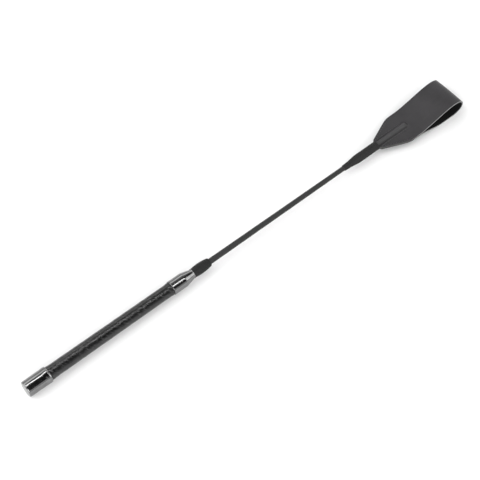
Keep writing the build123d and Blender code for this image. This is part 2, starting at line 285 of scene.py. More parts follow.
def lapped_seam(angle):
    """Height of the seam: a step up at the lap, which fades out round the grip, and a fine groove."""
    turn = (angle - SEAM_ANGLE + math.pi) % FULL_TURN - math.pi
    lap = smoothstep(turn, -0.03, 0.03) * (1 - smoothstep(turn, 0.1, 1.2))
    groove = np.exp(-((turn / 0.035) ** 2))
    return LAP_HEIGHT * lap - LAP_GROOVE * groove


def grip_wrap():
    """The leatherette sheath: a slight taper, rolled hems, soft slanting wrinkles and a lapped seam."""
    x = np.linspace(GRIP_START, GRIP_END, int((GRIP_END - GRIP_START) / GRIP_STEP))
    angle = np.arange(GRIP_AROUND) * FULL_TURN / GRIP_AROUND
    share = (x - GRIP_START) / (GRIP_END - GRIP_START)
    plain = GRIP_RADIUS_REAR + share * (GRIP_RADIUS_FRONT - GRIP_RADIUS_REAR)
    from_end = np.minimum(x - GRIP_START, GRIP_END - x)
    hem = HEM_RISE * 0.7 * (1 - smoothstep(from_end, 1.5 * MM, 6.0 * MM))
    stitch_dip = 0.05 * MM * np.exp(-(((from_end - 4.3 * MM) / (0.5 * MM)) ** 2))
    to_edge = 1 - np.clip(from_end / END_ROUNDING, 0, 1)
    round_end = 0.5 * MM * (1 - np.sqrt(1 - to_edge ** 2))
    grid = (len(x), GRIP_AROUND, GRIP_STEP, plain.mean() * FULL_TURN / GRIP_AROUND)
    wrinkles = streaky_noise(*grid, long=2.6 * MM, wide=0.55 * MM, tilt=math.radians(52), seed=11)
    waves = streaky_noise(*grid, long=7 * MM, wide=1.2 * MM, tilt=math.radians(48), seed=12)
    fade = smoothstep(from_end, 0, 6 * MM)[:, None]
    relief = fade * (CREASE_HEIGHT * (0.35 - np.abs(wrinkles)) + WAVE_HEIGHT * waves)
    radius = (plain + hem - stitch_dip - round_end)[:, None] + relief + lapped_seam(angle)[None, :]
    inner = (plain - WRAP_THICKNESS)[:, None].repeat(GRIP_AROUND, 1)
    ends_x = np.concatenate([[x[0]], x, [x[-1]]])
    ends_r = np.concatenate([inner[:1], radius, inner[-1:]])
    return skin("grip_wrap_skin", ends_x, ends_r, "handle", ["grip_wrap"])


# ---------------------------------------------------------------- wound thread

THREAD_PITCH = 0.52 * MM
THREAD_RISE = 0.16 * MM         # how far the thread's top stands over the groove beside it
THREAD_UNEVEN = 0.025 * MM
THREAD_SAMPLES = 7              # rings for each turn of thread
SKIN_INSET = 0.06 * MM          # keeps the uneven turns inside the layer's full radius
LEAD_TAPER = 0.4 * MM
TIP_STEP_RADIUS = 4.1 * MM
BULB_REAR_RADIUS = 5.35 * MM
BULB_FRONT_RADIUS = 4.75 * MM
BULB_WIDEST = 0.40              # the place of the largest radius, as a share of the length
BULB_INSET = 0.05 * MM


def wound(name, x_start, x_end, radius_at, around, body, replaced, seed, bore):
    """A layer of thread wound side by side along a body of revolution, with its open ends closed."""
    turns = round((x_end - x_start) / THREAD_PITCH)
    pitch = (x_end - x_start) / turns
    x = np.linspace(x_start, x_end, turns * THREAD_SAMPLES + 1)
    angle = np.arange(around) * FULL_TURN / around
    phase = (x[:, None] - x_start) / pitch - angle[None, :] / FULL_TURN
    across = 2 * (phase % 1) - 1
    thread = np.sqrt(np.clip(1 - across ** 2, 0, 1))
    random = np.random.default_rng(seed)
    tension = random.normal(0, THREAD_UNEVEN, turns + 2)
    uneven = tension[np.clip(np.floor(phase).astype(int) + 1, 0, turns + 1)]
    from_end = np.minimum(x - x_start, x_end - x)
    rounded = THREAD_RISE * 1.6 * (1 - smoothstep(from_end, 0, pitch * 0.9))
    outer = radius_at(x)[:, None] - THREAD_RISE * (1 - thread) + uneven - rounded[:, None]
    inner = np.full((1, around), bore)
    ends_x = np.concatenate([[x[0]], x, [x[-1]]])
    return skin(name, ends_x, np.concatenate([inner, outer, inner]), body, replaced)


def bulb_radius(x):
    """The olive shape of the handle whipping."""
    share = (x - BULB_START) / (BULB_END - BULB_START)
    behind = np.clip((BULB_WIDEST - share) / BULB_WIDEST, 0, 1)
    ahead = np.clip((share - BULB_WIDEST) / (1 - BULB_WIDEST), 0, 1)
    end = np.where(share < BULB_WIDEST, BULB_REAR_RADIUS, BULB_FRONT_RADIUS)
    rise = end + (BULB_RADIUS - end) * (1 - behind ** 2 - ahead ** 2.3)
    return rise - BULB_INSET


def lead_radius(x):
    """The first layer at the tip: it thickens a little towards the full whipping."""
    return LEAD_RADIUS - SKIN_INSET - LEAD_TAPER * (1 - smoothstep(x, LEAD_START, LEAD_END))


def tip_radius(x):
    """The tip whipping: a short slope and then a straight barrel."""
    full = WHIP_RADIUS - SKIN_INSET
    rise = smoothstep(x, WHIP_START - 2 * MM, WHIP_START + 12 * MM)
    return TIP_STEP_RADIUS + (full - TIP_STEP_RADIUS) * rise


def handle_whipping():
    return wound("handle_whipping_thread", BULB_START, BULB_END, bulb_radius, 112,
                 "handle", ["handle_whipping"], seed=21, bore=BRAID_RADIUS)


def tip_whipping_lead():
    return wound("tip_whipping_lead_thread", LEAD_START, LEAD_END, lead_radius, 88,
                 "shaft_tip", ["tip_whipping_lead"], seed=22, bore=3.0 * MM)


def tip_whipping():
    return wound("tip_whipping_thread", WHIP_START, WHIP_END, tip_radius, 104,
                 "shaft_tip", ["tip_whipping"], seed=23, bore=3.4 * MM)


# ---------------------------------------------------------------- braided shaft

STRANDS = 8                     # each way round
BRAID_LAY = 21 * MM             # one strand goes once round in this length
BRAID_RISE = 0.24 * MM
BRAID_TIP_RADIUS = 2.75 * MM
BRAID_STEP = 0.28 * MM
BRAID_AROUND = 96
ROD_TIP_RADIUS = 1.95 * MM
ROD_STEP = 2 * MM
ROD_AROUND = 48
LENGTHS = ["handle", "lower", "upper", "tip"]


def braid_base(x):
    """Outer radius of the braided cover, without its relief."""
    share = (x - BRAID_START) / (BRAID_END - BRAID_START)
    return BRAID_RADIUS + share * (BRAID_TIP_RADIUS - BRAID_RADIUS)


def braid_relief(x, angle):
    """Height of a two-way braid, one strand over and one under, each of a few yarns side by side."""
    turn = angle / FULL_TURN * STRANDS
    slide = x / BRAID_LAY * STRANDS
    left, right = turn + slide, turn - slide
    left_number, right_number = np.floor(left), np.floor(right)
    heights = []
    for own, own_number, other, flip in (
        (left, left_number, right, 0),
        (right, right_number, left, 1),
    ):
        across = 2 * (own - own_number) - 1
        strand = np.sqrt(np.clip(1 - (across * 0.97) ** 2, 0, 1))
        yarns = np.abs(np.sin(own * 3 * math.pi))
        over = np.cos(math.pi * (other - 0.5 + own_number + flip))
        heights.append(0.62 * strand - 0.08 * yarns + 0.42 * over)
    return np.maximum(heights[0], heights[1])


def braided_cover(name, start, end, nodes):
    x = np.linspace(start, end, int((end - start) / BRAID_STEP))
    angle = np.arange(BRAID_AROUND) * FULL_TURN / BRAID_AROUND
    relief = braid_relief(x[:, None], angle[None, :])
    radius = braid_base(x)[:, None] + BRAID_RISE * (relief - 1.0)
    return skin(name, x, radius, None, nodes)


def glass_rod(name, start, end, nodes):
    x = np.linspace(start, end, int((end - start) / ROD_STEP))
    share = (x - ROD_START) / (ROD_END - ROD_START)
    radius = ROD_RADIUS + share * (ROD_TIP_RADIUS - ROD_RADIUS)
    return skin(name, x, radius[:, None].repeat(ROD_AROUND, 1), None, nodes)


def shaft_lengths():
    """The covers and the rods, as pieces that each reach across one joint and meet in between."""
    meetings = [(one + other) / 2 for one, other in zip(BENDS, BENDS[1:])]
    cover_ends = [BRAID_START, *meetings, BRAID_END]
    rod_ends = [ROD_START, *meetings, ROD_END]
    last = len(BENDS) - 1
    covers, rods = [], []
    for i, bend in enumerate(BENDS):
        lengths = LENGTHS[i:] if i == last else LENGTHS[i:i + 1]
        cover = braided_cover(f"braided_cover_{i + 1}", cover_ends[i], cover_ends[i + 1],
                              [f"braid_{length}" for length in lengths])
        rod = glass_rod(f"glass_fibre_rod_{i + 1}", rod_ends[i], rod_ends[i + 1],
                        [f"core_rod_{length}" for length in lengths])
        for piece in (cover, rod):
            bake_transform(piece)
        covers.append(cover)
        rods.append(rod)
    return covers, rods


# ---------------------------------------------------------------- keeper

PLY = 1.7 * MM
STRAP = 1.8 * MM
KEEPER_BASE = WHIP_END
SHOULDER = KEEPER_BASE + 34 * MM
BASE_HALF_WIDTH = 6.8 * MM
NECK_HALF_WIDTH = 4.5 * MM
RIDGE_RADIUS = 3.5 * MM
RIDGE_FOOT = math.sqrt(RIDGE_RADIUS ** 2 - PLY ** 2)
RIDGE_END = ROD_END + 2.0 * MM
RIDGE_FADE = RIDGE_END - 3 * MM
LOOP_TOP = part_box("keeper_loop")[1].z - AXIS_Z - STRAP / 2
LOOP_BOTTOM = -(AXIS_Z - STRAP / 2)
LOOP_TOP_X = KEEPER_END - 17 * MM
EDGE_SEAM_INSET = 2.3 * MM
RIDGE_SEAM = 5.4 * MM
VALLEY_DEPTH = 0.5 * MM
DIMPLE_DEPTH = 0.7 * MM
CREASE_DEPTH = 0.38 * MM
CROWN_DROP = 0.35 * MM          # the loop's upper run falls this much towards its edges
NECK_CUT = 16 * MM              # the visible strap starts this far into the plies, under the thread
FACE_COLUMNS = 56
EDGE_COLUMNS = 7
EDGE_ROUNDING = 0.3 * MM
EDGE_CROWDING = 0.93            # how far the face's columns crowd towards its edges, 0 to 1
BACK_UV_SHIFT = 0.1             # keeps the back's texture coordinates clear of the face's


def hermite(start, end, start_pull, end_pull, count):
    """Points along a cubic from start to end, with the pull at each end, without the last point."""
    t = (np.arange(count) / count)[:, None]
    start, end, start_pull, end_pull = map(np.asarray, (start, end, start_pull, end_pull))
    return (
        (2 * t ** 3 - 3 * t ** 2 + 1) * start
        + (t ** 3 - 2 * t ** 2 + t) * start_pull
        + (-2 * t ** 3 + 3 * t ** 2) * end
        + (t ** 3 - t ** 2) * end_pull
    )


def strap_path():
    """The strap's middle line in (x, height above the axis), from the top neck round to the bottom."""
    neck = PLIES_START + NECK_CUT
    level = PLY / 2
    straight_end = HINGE - 7 * MM
    top = (LOOP_TOP_X, LOOP_TOP)
    fold = (KEEPER_END - STRAP / 2, 0.6 * MM)
    flat_end = (KEEPER_END - 16 * MM, LOOP_BOTTOM)
    flat_start = (KEEPER_END - 34 * MM, LOOP_BOTTOM)
    pieces = [
        hermite((neck, level), (straight_end, level), (58 * MM, 0), (58 * MM, 0), 130),
        hermite((straight_end, level), top, (44 * MM, 0), (46 * MM, 0), 100),
        hermite(top, fold, (33 * MM, 0), (0, -24 * MM), 70),
        hermite(fold, flat_end, (0, -17 * MM), (-22 * MM, 0), 50),
        hermite(flat_end, flat_start, (-18 * MM, 0), (-18 * MM, 0), 24),
        hermite(flat_start, (straight_end, -level), (-22 * MM, 0), (-30 * MM, 0), 80),
        hermite((straight_end, -level), (neck, -level), (-58 * MM, 0), (-58 * MM, 0), 130),
        np.array([[neck, -level]]),
    ]
    return np.concatenate(pieces)


def keeper_half_width(x):
    """Half the strap's width: a neck under the thread, a straight flare and a rounded shoulder."""
    widening = (x - KEEPER_BASE) * (KEEPER_HALF_WIDTH - BASE_HALF_WIDTH)
    flare = BASE_HALF_WIDTH + widening / (SHOULDER - KEEPER_BASE)
    softness = 1.0 * MM
    wide = -softness * np.logaddexp(-flare / softness, -KEEPER_HALF_WIDTH / softness)
    clear_of_thread = smoothstep(x, KEEPER_BASE - 1.5 * MM, KEEPER_BASE + 2.5 * MM)
    return NECK_HALF_WIDTH + (wide - NECK_HALF_WIDTH) * clear_of_thread


def ridge_height(x, y):
    """How far the leather stands off the plies' flat face, over the rod's end."""
    end = smoothstep(x, RIDGE_FADE, RIDGE_END + 0.4 * MM)
    radius = RIDGE_RADIUS * np.sqrt(1 - end ** 2)
    hump = np.sqrt(np.clip(radius ** 2 - y ** 2, 0, None)) - PLY
    softness = 0.13 * MM
    lift = softness * np.logaddexp(0, hump / softness)
    return lift - VALLEY_DEPTH * valley_share(x, y) - DIMPLE_DEPTH * dimple_share(x, y)


def valley_share(x, y):
    """How much of the valley beside the ridge there is at a point, 0 to 1."""
    beside = (np.abs(y) - RIDGE_FOOT - 0.45 * MM) / (0.6 * MM)
    return np.exp(-beside ** 2) * (1 - smoothstep(x, RIDGE_FADE, RIDGE_END + 1 * MM))


def dimple_share(x, y):
    """How much of the dip in front of the ridge's end there is at a point, 0 to 1. It sinks the leather
    there and also darkens it as painted shade.
    """
    past_end = (x - RIDGE_END - 0.9 * MM) / (1.1 * MM)
    return np.exp(-past_end ** 2 - (y / (2.6 * MM)) ** 2)


def valley_shade_share(x, y):
    """How much painted shade lies beside the ridge, most of it on the -Y side, which faces away from the
    lights, 0 to 1.
    """
    beside = (np.abs(y) - RIDGE_FOOT - 0.2 * MM) / (0.9 * MM)
    # Painted shade is heavier on the -Y side of the ridge, away from the lights.
    side = np.where(y < 0, 1.0, 0.4)
    return side * np.exp(-beside ** 2) * (1 - smoothstep(x, RIDGE_FADE, RIDGE_END + 1 * MM))


def crown_rub_and_highlight(x, y):
    """How much the ridge's crown is worn glossy and lightened as a painted highlight at a point, 0 to 1.
    """
    from_line = (y + 0.5 * MM) / (1.4 * MM)
    return np.exp(-from_line ** 2) * (1 - smoothstep(x, RIDGE_FADE, RIDGE_END))


def crease_share(x, y, half_width):
    """How much of the pressed line along the strap's cut edge there is at a point, 0 to 1."""
    inset = half_width - np.abs(y)
    line = np.exp(-(((inset - EDGE_SEAM_INSET) / (0.5 * MM)) ** 2))
    return line * (1 - smoothstep(x, SHOULDER - 4 * MM, SHOULDER + 12 * MM))


def strap_section(path, half_width):
    """Round every row of the strap: y, and the height over its middle line. The columns run over the
    face, one cut edge, the back and the other cut edge."""
    spread = np.linspace(-1, 1, FACE_COLUMNS) * math.pi / 2 * EDGE_CROWDING
    across = np.sin(spread) / math.sin(math.pi / 2 * EDGE_CROWDING)
    edge_turn = np.linspace(0, math.pi, EDGE_COLUMNS + 2)[1:-1]
    half = np.where(np.abs(path[:, 1]) < PLY, PLY, STRAP)[:, None] / 2
    flat = half_width[:, None] - EDGE_ROUNDING
    y_face = across[None, :] * flat
    y_edge = flat + EDGE_ROUNDING * np.sin(edge_turn)[None, :]
    lift_face = np.broadcast_to(half, y_face.shape)
    lift_edge = half * np.sign(np.cos(edge_turn)) * np.abs(np.cos(edge_turn)) ** 0.8
    y = np.concatenate([y_face, y_edge, y_face[:, ::-1], -y_edge], axis=1)
    lift = np.concatenate([lift_face, lift_edge, -lift_face, -lift_edge], axis=1)
    return y, lift


def strap_wear(x, y, half_width, on_plies):
    """How much pressed line, painted shade and worn or highlit leather there is at every point, from 0 up.
    """
    outer_face = np.zeros(y.shape)
    outer_face[:, :FACE_COLUMNS] = 1
    crease = outer_face * crease_share(x, y, half_width)
    # Painted shade: the face is darkened beside the ridge, mostly on its -Y side, in the dip before the
    # ridge's end and along the pressed line.
    painted_shade = outer_face * on_plies * (valley_shade_share(x, y) + dimple_share(x, y)) + crease
    loop_edge = smoothstep(x, HINGE - 22 * MM, HINGE)
    # On the face this is the ridge's crown, worn glossy and lightened as a painted highlight; on the cut
    # edges it is the lighter edge of the loop.
    rubbed_and_highlit = np.where(outer_face > 0, on_plies * crown_rub_and_highlight(x, y), loop_edge)
    return crease, painted_shade, rubbed_and_highlit


def strap_materials(rows):
    """The material of every quad: 0 for the face, 1 for the cut edges and 2 for the back."""
    columns = np.repeat([0, 1, 2, 1], [FACE_COLUMNS, EDGE_COLUMNS, FACE_COLUMNS, EDGE_COLUMNS])
    return np.tile(columns, rows - 1).astype(np.int32)


def keeper_strap():
    """The whole leather strap as one closed skin: face, two rounded cut edges and back."""
    path = strap_path()
    rows = len(path)
    tangent = np.gradient(path, axis=0)
    tangent /= np.linalg.norm(tangent, axis=1)[:, None]
    normal = np.stack([-tangent[:, 1], tangent[:, 0]], axis=1)
    half_width = keeper_half_width(path[:, 0])
    y, lift = strap_section(path, half_width)
    x = np.broadcast_to(path[:, :1], y.shape)
    on_plies = 1 - smoothstep(x, HINGE - 5 * MM, HINGE)
    crease, painted_shade, rubbed_and_highlit = strap_wear(x, y, half_width[:, None], on_plies)
    off_ply = smoothstep(np.abs(path[:, 1:]), 3 * MM, 8 * MM)
    upper_run = (np.arange(rows) < rows / 2)[:, None]
    crown = -CROWN_DROP * (y / KEEPER_HALF_WIDTH) ** 2 * upper_run * off_ply
    rise = lift + on_plies * ridge_height(x, y) - CREASE_DEPTH * crease + crown
    height = AXIS_Z + path[:, 1:] + normal[:, 1:] * rise
    points = np.stack([x + normal[:, :1] * rise, y, height], axis=-1).reshape(-1, 3)
    along = np.concatenate([[0], np.cumsum(np.linalg.norm(np.diff(path, axis=0), axis=1))])
    back_shift = np.where(lift < 0, BACK_UV_SHIFT, 0)
    uv = np.stack([np.broadcast_to(along[:, None], y.shape), y + back_shift], axis=-1)
    strap = add_piece("keeper_strap", points, tube_faces(rows, y.shape[1]), None,
                      ["keeper_top_ply", "keeper_bottom_ply", "keeper_loop"], uv.reshape(-1, 2))
    strap.data.polygons.foreach_set("material_index", strap_materials(rows))
    # Stores the painted shade mask and the worn-and-highlit mask on the points for the materials.
    for name, values in (("painted_shade", painted_shade), ("rubbed_and_highlit", rubbed_and_highlit)):
        layer = strap.data.attributes.new(name, "FLOAT", "POINT")
        layer.data.foreach_set("value", np.clip(values, 0, 1).astype(np.float32).ravel())
    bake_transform(strap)
    return strap


STITCH_RADIUS = 0.33 * MM
STITCH_LENGTH = 2.4 * MM
STITCH_PITCH = 3.4 * MM
STITCH_RINGS = 9
STITCH_AROUND = 8


def face_height(x, y, side):
    """Height above the axis of the strap's outer face on the stitched part."""
    return side * (PLY + ridge_height(x, y) - CREASE_DEPTH * crease_share(x, y, keeper_half_width(x)))


def stitch_places():
    """The middle of every stitch and its slant, as (x, y, slant): the seams beside the ridge and along
    the edges."""
    ridge_start, ridge_end = KEEPER_BASE + 7 * MM, RIDGE_END - 1 * MM
    edge_start, edge_end = KEEPER_BASE + 4 * MM, SHOULDER + 6 * MM
    places = []
    for mirror in (1, -1):
        for i in range(int((ridge_end - ridge_start) / STITCH_PITCH)):
            places.append((ridge_start + i * STITCH_PITCH, mirror * RIDGE_SEAM, 0.0))
        x = edge_start
        while x < edge_end:
            y = keeper_half_width(x) - EDGE_SEAM_INSET
            ahead = keeper_half_width(x + 1 * MM) - EDGE_SEAM_INSET
            slant = math.atan2(ahead - y, 1 * MM)
            places.append((x, mirror * y, mirror * slant))
            x += STITCH_PITCH * math.cos(slant)
    return places


def stitch_points(x, y, slant, side):
    """One arched length of thick twisted thread that dips into the leather at both ends."""
    turn = np.arange(STITCH_AROUND) * FULL_TURN / STITCH_AROUND
    share = np.linspace(-1, 1, STITCH_RINGS)
    px = x + share * STITCH_LENGTH / 2 * math.cos(slant)
    py = y + share * STITCH_LENGTH / 2 * math.sin(slant)
    arch = 0.75 * STITCH_RADIUS - 1.9 * STITCH_RADIUS * share ** 4
    pz = face_height(px, py, side) + side * arch
    thin = STITCH_RADIUS * np.sqrt(np.clip(1.02 - share ** 6, 0.02, 1))
    ply_twist = 1 + 0.10 * np.cos(3 * turn[None, :] + 9 * share[:, None])
    ring_y = thin[:, None] * ply_twist * np.cos(turn)
    ring_z = thin[:, None] * ply_twist * np.sin(turn) * side
    stitch_x = px[:, None] - ring_y * math.sin(slant)
    stitch_y = py[:, None] + ring_y * math.cos(slant)
    return np.stack([stitch_x, stitch_y, AXIS_Z + pz[:, None] + ring_z], axis=-1).reshape(-1, 3)


def keeper_stitches():
    """All the stitches, on both faces of the keeper, as one piece."""
    one = tube_faces(STITCH_RINGS, STITCH_AROUND)
    points, faces = [], []
    for x, y, slant in stitch_places():
        for side in (1, -1):
            faces.append((one if side < 0 else one[:, ::-1]) + sum(len(p) for p in points))
            points.append(stitch_points(x, y, slant, side))
    return add_piece("keeper_stitch_thread", np.concatenate(points), np.concatenate(faces),
                     "shaft_tip", ["keeper_stitching"])


# ---------------------------------------------------------------- materials

PURPLE_LOW = (0.0205, 0.0195, 0.0208)
PURPLE_HIGH = (0.0285, 0.0266, 0.0290)
TONE_CHANGE = 0.25      # how much a moulded part's tone goes up and down, as a share


def grey(value):
    return (value, value, value)


class Surface:
    """A small builder for one node material."""

    def __init__(self, name, colour, roughness, metallic=0.0):
        self.material = bpy.data.materials.new(name)
        self.material.use_nodes = True
        self.tree = self.material.node_tree
        self.shader = self.tree.nodes["Principled BSDF"]
        self.shader.inputs["Base Color"].default_value = (*colour, 1)
        self.shader.inputs["Roughness"].default_value = roughness
        self.shader.inputs["Metallic"].default_value = metallic
        coordinates = self.node("ShaderNodeTexCoord")
        self.place = coordinates.outputs["Object"]
        self.unrolled = coordinates.outputs["UV"]
        self.material.diffuse_color = (*colour, 1)

    def node(self, kind, **settings):
        made = self.tree.nodes.new(kind)
        for key, value in settings.items():
            if key in made.inputs:
                made.inputs[key].default_value = value
            else:
                setattr(made, key, value)
        return made

    def link(self, output, entry):
        self.tree.links.new(output, entry)

    def mapped(self, scale, turn):
        mapping = self.node("ShaderNodeMapping")
        mapping.inputs["Scale"].default_value = scale
        mapping.inputs["Rotation"].default_value = turn
        self.link(self.place, mapping.inputs["Vector"])
        return mapping.outputs["Vector"]

    def noise(self, size, detail=3.0, scale=(1, 1, 1), turn=(0, 0, 0), rough=0.5):
        """Noise whose lumps are about size metres across. A smaller scale draws them out on that axis."""
        made = self.node("ShaderNodeTexNoise", Scale=1 / size, Detail=detail, Roughness=rough)
        self.link(self.mapped(scale, turn), made.inputs["Vector"])
        return made.outputs["Fac"]

    def streaks(self, size, stretch, slant):
        """Noise drawn out by a factor along a slant on the unrolled surface."""
        mapping = self.node("ShaderNodeMapping", vector_type="TEXTURE",
                            Scale=(stretch, 1, 1), Rotation=(0, 0, slant))
        self.link(self.unrolled, mapping.inputs["Vector"])
        made = self.node("ShaderNodeTexNoise", Scale=1 / size, Detail=3.0, Roughness=0.55)
        self.link(mapping.outputs["Vector"], made.inputs["Vector"])
        return made.outputs["Fac"]

    def cells(self, size, scale=(1, 1, 1), turn=(0, 0, 0)):
        """The distance to the nearest border of cells about size metres across."""
        made = self.node("ShaderNodeTexVoronoi", feature="DISTANCE_TO_EDGE", Scale=1 / size)
        self.link(self.mapped(scale, turn), made.inputs["Vector"])
        return made.outputs["Distance"]

    def ramp(self, value, low, high, low_value, high_value):
        """The value, from low to high, as a number from low_value to high_value."""
        made = self.node("ShaderNodeMapRange", clamp=True)
        for entry, number in zip(("From Min", "From Max", "To Min", "To Max"),
                                 (low, high, low_value, high_value)):
            made.inputs[entry].default_value = number
        self.link(value, made.inputs["Value"])
        return made.outputs["Result"]

    def attribute(self, name):
        """A number stored on the mesh's points."""
        return self.node("ShaderNodeAttribute", attribute_name=name).outputs["Fac"]

    def colours(self, value, stops):
        made = self.node("ShaderNodeValToRGB")
        elements = made.color_ramp.elements
        while len(elements) < len(stops):
            elements.new(0.5)
        for element, (place, colour) in zip(elements, stops):
            element.position = place
            element.color = (*colour, 1)
        self.link(value, made.inputs["Fac"])
        return made.outputs["Color"]

    def mix(self, share, first, second):
        """From first to second by a share's output. Both are colour outputs or plain colours."""
        made = self.node("ShaderNodeMix", data_type="RGBA")
        for entry, value in ((made.inputs[6], first), (made.inputs[7], second)):
            if isinstance(value, tuple):
                entry.default_value = (*value, 1)
            else:
                self.link(value, entry)
        self.link(share, made.inputs[0])
        return made.outputs[2]

    def paint(self, colour):
        self.link(colour, self.shader.inputs["Base Color"])

    def gloss(self, roughness):
        self.link(roughness, self.shader.inputs["Roughness"])

    def bumps(self, *layers):
        """Each layer is (height output, depth in metres)."""
        normal = None
        for height, depth in layers:
            bump = self.node("ShaderNodeBump", Strength=1.0, Distance=depth)
            self.link(height, bump.inputs["Height"])
            if normal is not None:
                self.link(normal, bump.inputs["Normal"])
            normal = bump.outputs["Normal"]
        self.link(normal, self.shader.inputs["Normal"])


def dark_metal():
    s = Surface("dark_metal", grey(0.2), 0.12, metallic=1.0)
    turning = s.noise(0.35 * MM, 4, scale=(1, 0.02, 0.02))
    clouds = s.noise(7 * MM, 3)
    scratches = s.cells(2.2 * MM, scale=(0.25, 1, 1), turn=(0.3, 0.2, 0.9))
    s.paint(s.colours(clouds, [(0.3, grey(0.175)), (0.7, grey(0.22))]))
    s.gloss(s.ramp(clouds, 0.3, 0.7, 0.09, 0.17))
    s.bumps((turning, 0.004 * MM), (s.ramp(scratches, 0, 0.02, 0, 1), 0.002 * MM))
    return s.material


def grip_leatherette():
    s = Surface("grip_leatherette", grey(0.008), 0.34)
    grain = s.cells(0.75 * MM, scale=(0.8, 1, 1), turn=(0, 0, 0.5))
    brush = s.streaks(1.8 * MM, 4.0, math.radians(48))
    wear = s.noise(14 * MM, 3)
    s.paint(s.colours(brush, [(0.4, grey(0.004)), (0.55, grey(0.008)), (0.68, grey(0.034))]))
    s.gloss(s.ramp(wear, 0.3, 0.7, 0.19, 0.25))
    s.shader.inputs["Specular IOR Level"].default_value = 0.5
    s.bumps((brush, 0.07 * MM), (s.ramp(grain, 0, 0.25, 0, 1), 0.012 * MM))
    return s.material


def thread(name, base, specular):
    s = Surface(name, grey(base), 0.6)
    s.shader.inputs["Specular IOR Level"].default_value = specular
    fibre = s.noise(0.5 * MM, 4, scale=(1, 0.25, 0.25))
    dust = s.noise(6 * MM, 4, rough=0.6)
    s.paint(s.mix(s.ramp(dust, 0.45, 0.8, 0.0, 0.35),
                  s.colours(fibre, [(0.3, grey(base * 0.7)), (0.7, grey(base * 1.35))]),
                  grey(base * 1.7)))
    s.gloss(s.ramp(fibre, 0.3, 0.7, 0.48, 0.64))
    s.bumps((fibre, 0.05 * MM))
    return s.material


def braid():
    s = Surface("braid", grey(0.013), 0.5)
    s.shader.inputs["Specular IOR Level"].default_value = 0.4
    yarn = s.noise(0.35 * MM, 4, scale=(0.45, 1, 1))
    patches = s.noise(18 * MM, 3)
    s.paint(s.mix(s.ramp(patches, 0.3, 0.7, 0.0, 0.5),
                  s.colours(yarn, [(0.3, grey(0.007)), (0.7, grey(0.020))]), grey(0.015)))
    s.gloss(s.ramp(yarn, 0.3, 0.7, 0.42, 0.6))
    s.bumps((yarn, 0.06 * MM))
    return s.material


def keeper_face():
    s = Surface("keeper_face", grey(0.03), 0.5)
    s.shader.inputs["Specular IOR Level"].default_value = 0.4
    pebble = s.cells(0.62 * MM)
    pores = s.noise(0.33 * MM, 3)
    clouds = s.noise(26 * MM, 4, rough=0.55)
    rubs = s.noise(4 * MM, 5, scale=(0.3, 1, 1), turn=(0, 0, 0.25))
    base = s.colours(clouds, [(0.3, PURPLE_LOW), (0.7, PURPLE_HIGH)])
    rubbed_and_highlit = s.attribute("rubbed_and_highlit")
    base = s.mix(s.ramp(rubs, 0.55, 0.8, 0, 0.4), base, grey(0.036))
    # Painted highlight: the ridge's crown is lightened.
    base = s.mix(s.ramp(rubbed_and_highlit, 0.0, 1.0, 0, 0.8), base, grey(0.05))
    # Painted shade: the face goes almost black where the shade mask is high.
    s.paint(s.mix(s.ramp(s.attribute("painted_shade"), 0.1, 1.0, 0, 0.9), base, grey(0.006)))
    s.gloss(s.ramp(rubbed_and_highlit, 0.0, 1.0, 0.42, 0.3))
    s.bumps((s.ramp(pebble, 0, 0.22, 0, 1), 0.03 * MM), (pores, 0.015 * MM), (rubs, 0.04 * MM))
    return s.material


def keeper_edge():
    s = Surface("keeper_edge", grey(0.14), 0.6)
    layers = s.noise(0.5 * MM, 5, scale=(0.2, 1, 1), rough=0.65)
    light = s.colours(layers, [(0.3, grey(0.11)), (0.7, grey(0.22))])
    s.paint(s.mix(s.ramp(s.attribute("rubbed_and_highlit"), 0.0, 1.0, 0, 1), grey(0.035), light))
    s.gloss(s.ramp(layers, 0.3, 0.7, 0.5, 0.7))
    s.bumps((layers, 0.08 * MM))
    return s.material


def keeper_back():
    s = Surface("keeper_back", grey(0.005), 0.85)
    s.shader.inputs["Specular IOR Level"].default_value = 0.15
    nap = s.noise(0.5 * MM, 5, rough=0.7)
    clouds = s.noise(9 * MM, 3)
    s.paint(s.mix(s.ramp(clouds, 0.3, 0.7, 0, 0.6),
                  s.colours(nap, [(0.3, grey(0.003)), (0.7, grey(0.008))]), grey(0.006)))
    s.gloss(s.ramp(nap, 0.3, 0.7, 0.8, 0.95))
    s.bumps((nap, 0.12 * MM))
    return s.material


def moulded(name, colour, roughness, grain_size, grain_depth):
    """A moulded, cast or foamed inner part: a fine grain and slow changes of tone."""
    s = Surface(name, colour, roughness)
    grain = s.noise(grain_size, 4)
    clouds = s.noise(10 * MM, 3)
    low = tuple(c * (1 - TONE_CHANGE) for c in colour)
    high = tuple(min(c * (1 + TONE_CHANGE), 1) for c in colour)
    s.paint(s.colours(clouds, [(0.3, low), (0.7, high)]))
    s.gloss(s.ramp(grain, 0.3, 0.7, roughness - 0.08, roughness + 0.08))
    s.bumps((grain, grain_depth))
    return s.material


def floor_paper():
    s = Surface("floor_paper", grey(0.86), 0.7)
    fibre = s.noise(3 * MM, 3)
    s.paint(s.colours(fibre, [(0.3, grey(0.855)), (0.7, grey(0.865))]))
    return s.material


# ---------------------------------------------------------------- putting it together

def dress(piece, *materials):
    for material in materials:
        piece.data.materials.append(material)


def dress_node(node, material):
    """Give a carried-over CAD node its material. Its shape is left alone."""
    mesh = frame["nodes"][node].data
    mesh.materials.clear()
    mesh.materials.append(material)


